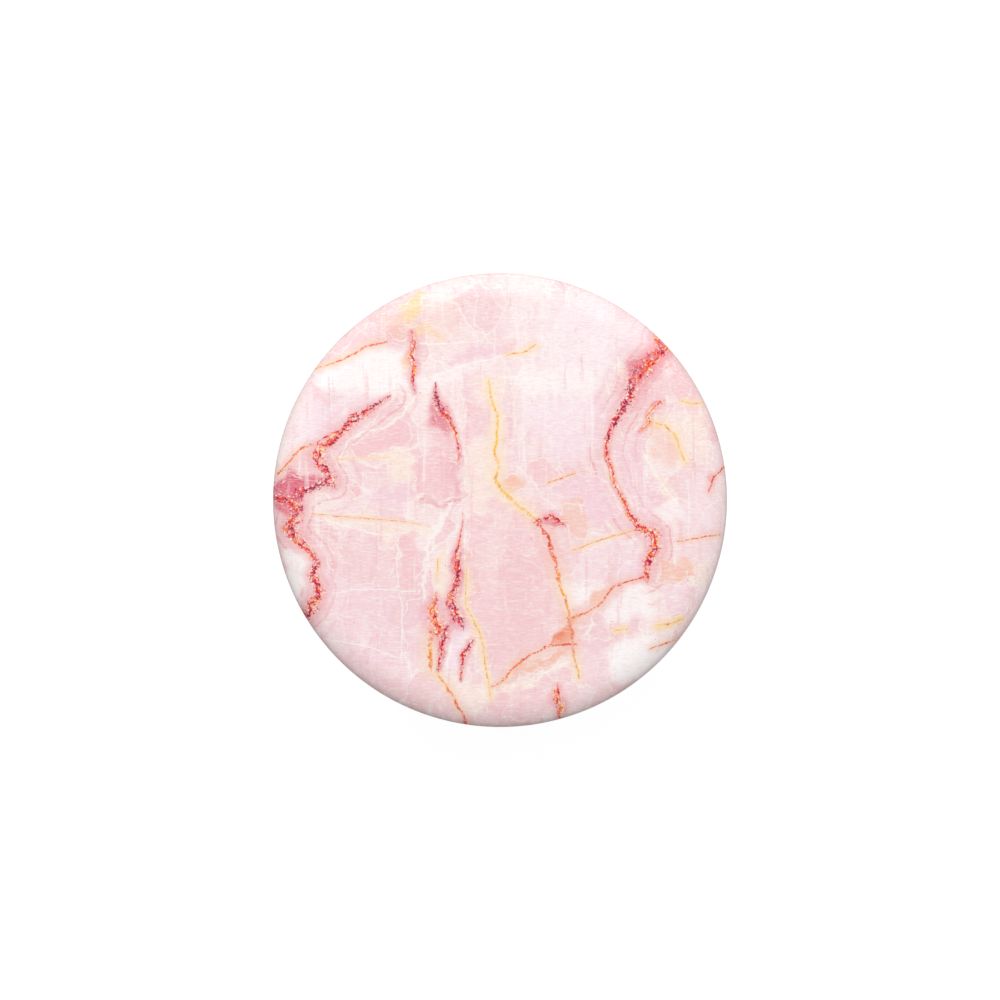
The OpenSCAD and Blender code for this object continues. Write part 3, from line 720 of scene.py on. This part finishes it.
class Surface(Graph):
    """A named material with one principled shader. place is a point in the part's frame,
    in millimetres."""

    def __init__(self, name, specular=0.5):
        self.material = bpy.data.materials.new(name)
        super().__init__(self.material)
        self.shader = self.node("BsdfPrincipled", inputs={"Specular IOR Level": specular})
        self.node("OutputMaterial", self.shader)
        place = self.node("TexCoord").outputs["Object"]
        self.place = self.vector("MULTIPLY", place, (1 / MM, 1 / MM, 1 / MM))

    def finish(self, tint, roughness, height, strength, depth):
        """Sets the colour, the roughness and the bump, and gives the material. depth is
        the bump's, in metres."""
        relief = {"Height": height, "Strength": strength, "Distance": depth}
        surface = {"Base Color": tint, "Roughness": roughness, "Normal": self.node("Bump", inputs=relief)}
        for name, value in surface.items():
            self.put(self.shader.inputs[name], value)
        return self.material

    def vector(self, operation, *values):
        return self.node("VectorMath", *values, operation=operation).outputs[0]

    def stretched(self, x, y):
        return self.vector("MULTIPLY", self.place, (x, y, 1.0))

    def noise(self, scale, detail=2.0, roughness=0.5, place=None, distortion=0.0, output="Fac"):
        inputs = {"Vector": self.place if place is None else place, "Scale": scale,
                  "Detail": detail, "Roughness": roughness, "Distortion": distortion}
        return self.node("TexNoise", inputs=inputs).outputs[output]

    def line_noise(self, distance, scale, detail=2.0):
        """Noise along one number, which makes bands of equal distance."""
        inputs = {"W": distance, "Scale": scale, "Detail": detail}
        return self.node("TexNoise", noise_dimensions="1D", inputs=inputs).outputs["Fac"]

    def cells(self, scale, place=None, feature="F1", output="Distance"):
        inputs = {"Vector": self.place if place is None else place, "Scale": scale}
        return self.node("TexVoronoi", feature=feature, inputs=inputs).outputs[output]

    def remap(self, value, low, high, to_low=0.0, to_high=1.0):
        numbers = (low, high, to_low, to_high)
        return self.node("MapRange", value, *numbers, interpolation_type="SMOOTHSTEP").outputs[0]

    def ramp(self, value, *stops):
        node = self.node("ValToRGB", value)
        elements = node.color_ramp.elements
        while len(elements) < len(stops):
            elements.new(1.0)
        for element, (position, tint) in zip(elements, stops):
            element.position, element.color = position, colour(*tint)
        return node.outputs[0]

    def mix(self, amount, first, second):
        node = self.node("Mix", amount, data_type="RGBA")
        self.put(node.inputs[6], first)
        self.put(node.inputs[7], second)
        return node.outputs[2]

    def stain(self, ground, tint, value, low, high, most=1.0):
        """The ground with a tint laid over it as value goes from low to high."""
        return self.mix(self.remap(value, low, high, 0.0, most), ground, tint)

    def attribute(self, name, output="Fac"):
        return self.node("Attribute", attribute_name=name).outputs[output]


# ---------------- materials
def blush_blocks(g, noise):
    """Blush stone with cloudy rose and white, cracked into large blocks."""
    ground = g.stain((246, 215, 218), (250, 228, 230), noise["cloud"], 0.4, 0.66)
    ground = g.stain(ground, (243, 198, 200), noise["mid"], 0.48, 0.68, 0.4)
    ground = g.stain(ground, (252, 236, 228), noise["mid"], 0.45, 0.3, 0.4)
    bent = g.vector("MULTIPLY_ADD", noise["drift"], (3.0, 3.0, 0.0), g.place)
    blocks = g.vector("MULTIPLY", bent, (0.34, 0.2, 0.0))
    pick = g.cells(1.0, place=blocks, output="Color")
    ground = g.stain(ground, (241, 192, 194), pick, 0.5, 0.9, 0.4)
    ground = g.stain(ground, (253, 240, 236), pick, 0.5, 0.1, 0.5)
    gap = g.cells(1.0, place=blocks, feature="DISTANCE_TO_EDGE")
    return g.stain(ground, (254, 247, 242), gap, 0.02, 0.008, 0.5)


def growth_bands(g, noise, ground):
    """Bands of salmon and cream that follow the great veins."""
    bands = g.attribute("bands")
    wavy = g.math("ADD", bands, g.times(noise["mid"], 0.7))
    band = g.line_noise(wavy, 2.0, 3.0)
    fade = g.remap(bands, 0.5, 3.2, 1.0, 0.1)
    pale = g.times(g.remap(band, 0.52, 0.6), g.times(fade, 0.8))
    deep = g.times(g.remap(band, 0.47, 0.38), g.times(fade, 0.85))
    ground = g.mix(pale, ground, (253, 236, 222))
    return g.mix(deep, ground, (237, 162, 162))


def patch_tones(g, noise, ground):
    """The listed patches, each with a grown edge and a cloudy inside."""
    shake = g.swing(noise["mid"], 0.5, 3.6)
    for name, tint in TONES.items():
        strength = g.attribute(name)
        edge = g.times(strength, g.math("SUBTRACT", 1.0, strength))
        cover = g.math("ADD", strength, g.times(edge, shake), clamp=True)
        ground = g.mix(cover, ground, tint)
    return ground


def streaks(g, ground):
    """Upright streaks, and pale seams that cross them."""
    streak = g.noise(1.0, 4.0, 0.65, place=g.stretched(1.7, 0.12), distortion=0.3)
    ground = g.stain(ground, (240, 186, 192), streak, 0.56, 0.7, 0.45)
    ground = g.stain(ground, (254, 246, 243), streak, 0.43, 0.3, 0.55)
    level = g.noise(0.8, 3.0, 0.6, place=g.stretched(0.16, 1.1), distortion=0.5)
    seam = g.math("ABSOLUTE", g.math("SUBTRACT", level, 0.5))
    return g.stain(ground, (254, 247, 240), seam, 0.012, 0.0, 0.5)


def vein_reach(g, name, shake):
    """Distance to a group's nearest vein with a jittered course, the plain distance, and
    the vein's heat. Distances are in half widths."""
    signed, away, heat = g.node("SeparateXYZ", g.attribute(name, "Vector")).outputs
    wander = g.math("ABSOLUTE", g.math("ADD", signed, shake))
    return g.math("MAXIMUM", wander, g.math("SUBTRACT", away, 3.0)), away, heat


def pale_lines(g, noise, ground):
    """White cracks, and fine broken lines round the sharper patches."""
    crack = vein_reach(g, "crack", noise["shake"])[0]
    ground = g.stain(ground, (254, 249, 245), crack, 1.6, 0.4, 0.62)
    edge = vein_reach(g, "edge", g.times(noise["shake"], 1.4))[0]
    cover = g.times(g.remap(edge, 1.3, 0.5), g.remap(noise["mid"], 0.44, 0.58, 0.0, 0.6))
    return g.mix(cover, ground, (254, 245, 238))


def ripples(g, ground):
    """Fine level ripples of rose and white."""
    dots = g.noise(5.0, 1.0, 0.5, place=g.stretched(0.35, 1.6), distortion=0.8)
    ground = g.stain(ground, (238, 168, 172), dots, 0.5, 0.7, 0.16)
    return g.stain(ground, (255, 252, 249), dots, 0.5, 0.3, 0.3)


def thin_veins(g, noise, ground, name):
    """Thin amber veins: a wide warm halo, a broken bright line, and red beads on it."""
    line, away, heat = vein_reach(g, name, noise["shake"])
    halo = g.ramp(heat, (0.6, (245, 190, 176)), (0.95, (252, 226, 180)))
    ground = g.stain(ground, halo, away, 13.0, 1.0, 0.5)
    core = g.ramp(heat, (0.55, (234, 72, 40)), (0.75, (246, 138, 54)), (0.95, (252, 200, 78)))
    cover = g.times(g.remap(line, 1.7, 0.6), g.remap(noise["speck"], 0.4, 0.54, 0.12, 1.0))
    ground = g.mix(cover, ground, core)
    warm = g.math("SUBTRACT", 1.35, heat)
    bead = g.times(g.remap(line, 2.2, 0.8), g.remap(noise["hue"], 0.56, 0.62))
    return g.mix(g.math("MULTIPLY", bead, warm, clamp=True), ground, (230, 50, 40))


def great_veins(g, noise, ground, name):
    """Great crimson veins: a rose haze, a crust of bright flecks, and two dark strands."""
    strand, away, heat = vein_reach(g, name, noise["shake"])
    other = vein_reach(g, name, noise["drift_shake"])[0]
    ground = g.stain(ground, (236, 132, 146), away, 6.0, 0.5, 0.55)
    spice = g.math("ADD", g.swing(noise["hue"], 0.5, 3.2), g.swing(noise["mid"], 0.5, 1.8))
    warmth = g.math("ADD", heat, spice)
    fleck = g.ramp(warmth, (0.0, (176, 22, 92)), (0.2, (216, 36, 84)), (0.38, (238, 48, 50)),
                   (0.56, (246, 92, 34)), (0.74, (252, 156, 48)), (0.95, (255, 224, 140)))
    crust = g.math("SUBTRACT", noise["speck"], g.remap(away, 0.0, 4.0, 0.0, 0.26))
    ground = g.stain(ground, fleck, crust, 0.46, 0.51, 0.9)
    glint = g.times(g.remap(away, 3.5, 1.0), g.remap(noise["glint"], 0.56, 0.62))
    ground = g.mix(glint, ground, (255, 236, 214))
    strands = g.math("MINIMUM", strand, g.math("ADD", other, 0.3))
    cover = g.times(g.remap(strands, 0.8, 0.35), g.remap(noise["speck"], 0.4, 0.5, 0.25, 1.0))
    dark = g.ramp(warmth, (0.0, (164, 0, 62)), (0.3, (204, 2, 54)), (0.6, (236, 38, 22)),
                  (0.9, (246, 116, 26)))
    return g.mix(cover, ground, dark)


def leather_grain(g):
    """Rippled wrinkles with small pebbles."""
    wrinkle = g.noise(2.6, 3.0, 0.6, place=g.stretched(0.7, 1.7), distortion=1.2)
    pebble = g.cells(3.2, feature="SMOOTH_F1")
    return g.math("ADD", g.times(wrinkle, 0.7), g.times(pebble, 0.4))


def marble():
    """The rose-marble print under a satin coat, whose sheen varies with its fine grain."""
    g = Surface("marble_print", specular=0.32)
    noise = {
        "cloud": g.noise(0.16, 3.0, 0.55),
        "mid": g.noise(0.55, 4.0, 0.6, distortion=0.6),
        "drift": g.noise(0.3, 2.0, 0.5, output="Color"),
        "speck": g.noise(5.5, 2.0, 0.6),
        "hue": g.noise(2.6, 2.0, 0.65),
        "glint": g.noise(4.6, 2.0, 0.6, distortion=0.5),
    }
    noise["shake"] = g.swing(g.noise(1.3, 4.0, 0.6), 0.5, 7.0)
    noise["drift_shake"] = g.swing(noise["mid"], 0.46, 14.0)
    ground = blush_blocks(g, noise)
    ground = growth_bands(g, noise, ground)
    ground = patch_tones(g, noise, ground)
    ground = streaks(g, ground)
    ground = pale_lines(g, noise, ground)
    ground = ripples(g, ground)
    for name in ("amber_trunk", "amber_branch"):
        ground = thin_veins(g, noise, ground, name)
    for name in ("crimson_trunk", "crimson_branch"):
        ground = great_veins(g, noise, ground, name)
    grain = leather_grain(g)
    return g.finish(ground, g.remap(grain, 0.3, 0.9, 0.36, 0.5), grain, 0.35, 0.00006)


def white_plastic():
    """White moulded polycarbonate with a fine spark-eroded texture."""
    g = Surface("white_plastic")
    tint = g.ramp(g.noise(0.09, 3.0, 0.5), (0.3, (236, 236, 235)), (0.7, (243, 243, 242)))
    scuff = g.noise(1.2, 4.0, 0.7, place=g.stretched(0.3, 1.4))
    return g.finish(tint, g.remap(scuff, 0.35, 0.7, 0.36, 0.52), g.noise(9.0, 3.0, 0.6), 0.3, 0.00003)


def white_elastomer():
    """Matte white elastomer with faint, duller flow rings."""
    g = Surface("white_elastomer", specular=0.4)
    cloud = g.noise(0.25, 4.0, 0.6)
    height = g.node("SeparateXYZ", g.place).outputs[2]
    rings = g.line_noise(g.math("ADD", height, g.times(cloud, 0.2)), 3.2, 3.0)
    tint = g.ramp(cloud, (0.3, (233, 232, 230)), (0.7, (241, 240, 238)))
    dust = g.times(g.remap(rings, 0.55, 0.7), 0.35)
    texture = g.math("ADD", g.noise(7.0, 3.0, 0.6), g.times(rings, 0.6))
    tint = g.mix(dust, tint, (226, 224, 222))
    return g.finish(tint, g.remap(rings, 0.3, 0.7, 0.52, 0.66), texture, 0.3, 0.00003)


def gel():
    """Tacky pale-grey gel, smooth, with a few tiny specks."""
    g = Surface("gel")
    tint = g.ramp(g.noise(0.3, 3.0, 0.5), (0.3, (196, 199, 204)), (0.7, (210, 212, 216)))
    specks = g.remap(g.cells(1.1), 0.09, 0.05, 0.0, 0.5)
    tint = g.mix(specks, tint, (226, 228, 231))
    sheen = g.remap(g.noise(0.8, 3.0, 0.6), 0.35, 0.7, 0.12, 0.24)
    return g.finish(tint, sheen, g.noise(0.7, 2.0, 0.5), 0.25, 0.00008)


def clear_film():
    """Thin film with adhesive on both faces."""
    g = Surface("clear_film")
    mottle = g.noise(1.5, 3.0, 0.6)
    tint = g.ramp(mottle, (0.35, (216, 217, 218)), (0.7, (228, 229, 230)))
    return g.finish(tint, g.remap(mottle, 0.3, 0.7, 0.2, 0.34), mottle, 0.2, 0.00002)


def dress(obj, material):
    """Gives an object that one material."""
    obj.data.materials.clear()
    obj.data.materials.append(material)


# ---------------- camera, light and floor
def make_camera():
    """Straight down on the disc, whose width is 0.454 of the picture's."""
    lens, sensor, share = 100.0, 36.0, 0.454
    camera = bpy.data.objects.new("camera", bpy.data.cameras.new("camera"))
    camera.data.lens, camera.data.sensor_width = lens, sensor
    view_width = 2 * DISC_R * MM / share
    camera.location = (0, 0, ROLL_Z * MM + view_width * lens / sensor)
    camera.data.clip_start, camera.data.clip_end = 0.005, 10
    bpy.context.scene.collection.objects.link(camera)
    bpy.context.scene.camera = camera


def make_lamp(name, place, size, power):
    """A soft square lamp that faces the grip."""
    data = bpy.data.lights.new(name, "AREA")
    data.shape, data.size, data.energy = "SQUARE", size, power
    lamp = bpy.data.objects.new(name, data)
    lamp.location = place
    aim = Vector((0, 0, TOP_Z * MM / 2)) - Vector(place)
    lamp.rotation_euler = aim.to_track_quat("-Z", "Y").to_euler()
    lamp.visible_camera = False
    bpy.context.scene.collection.objects.link(lamp)


def make_world():
    """A pale sky, brighter towards +Y; the camera itself sees plain white."""
    world = bpy.data.worlds.new("studio")
    bpy.context.scene.world = world
    g = Graph(world)
    white, dim, bright, slope = (1, 1, 1, 1), 0.35, 0.83, 0.9
    direction = g.node("SeparateXYZ", g.node("TexCoord").outputs["Generated"])
    level = g.node("MapRange", direction.outputs[1], -slope, slope, dim, bright)
    sky = g.node("Background", white, level)
    seen = g.node("LightPath").outputs["Is Camera Ray"]
    g.node("OutputWorld", g.node("MixShader", seen, sky, g.node("Background", white, 1.0)))


def make_floor():
    """A plain pale floor, seen near white, that throws only a little light back up. It is
    clear from below and to the face that rests on it, so that the underside can be seen."""
    size, drop, touch = 1.5, 0.00005, 0.0006
    grey, glow = 0.28, 0.85
    mesh = bpy.data.meshes.new("floor")
    corners = [(-size, -size, 0), (size, -size, 0), (size, size, 0), (-size, size, 0)]
    mesh.from_pydata(corners, [], [(0, 1, 2, 3)])
    floor = bpy.data.objects.new("floor", mesh)
    floor.location.z = -drop
    bpy.context.scene.collection.objects.link(floor)
    material = bpy.data.materials.new("floor")
    mesh.materials.append(material)
    g = Graph(material)
    ray = g.node("LightPath").outputs
    seen = g.node("Emission", inputs={"Strength": g.times(ray["Is Camera Ray"], glow)})
    lit = g.node("AddShader", g.node("BsdfDiffuse", (grey, grey, grey, 1)), seen)
    below = g.node("NewGeometry").outputs["Backfacing"]
    unseen = g.math("MAXIMUM", below, g.math("LESS_THAN", ray["Ray Length"], touch))
    g.node("OutputMaterial", g.node("MixShader", unseen, lit, g.node("BsdfTransparent")))


# ---------------- build
make_camera()
make_world()
make_floor()
# Each lamp has a place and a width in metres, and a power in watts.
make_lamp("key", (-0.05, 0.25, 0.36), 0.25, 0.88)
make_lamp("fill", (0.3, -0.1, 0.35), 0.3, 0.15)
make_lamp("skim", (0.0, 0.5, 0.05), 0.12, 0.26)
bpy.context.scene.view_settings.view_transform = "Standard"

plastic, elastomer, film = white_plastic(), white_elastomer(), clear_film()
dress(make_printed_cap(), marble())
dress(make_top_plate(), plastic)
for moulding in make_accordion():
    dress(moulding, elastomer)
dress(make_platform(), plastic)
dress(make_gel_pad(), gel())
for node in ("collar", "lock_stem"):
    dress(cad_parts[node], plastic)
for node in ("carrier_film", "bond_layer", "cap_bond_film"):
    dress(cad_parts[node], film)
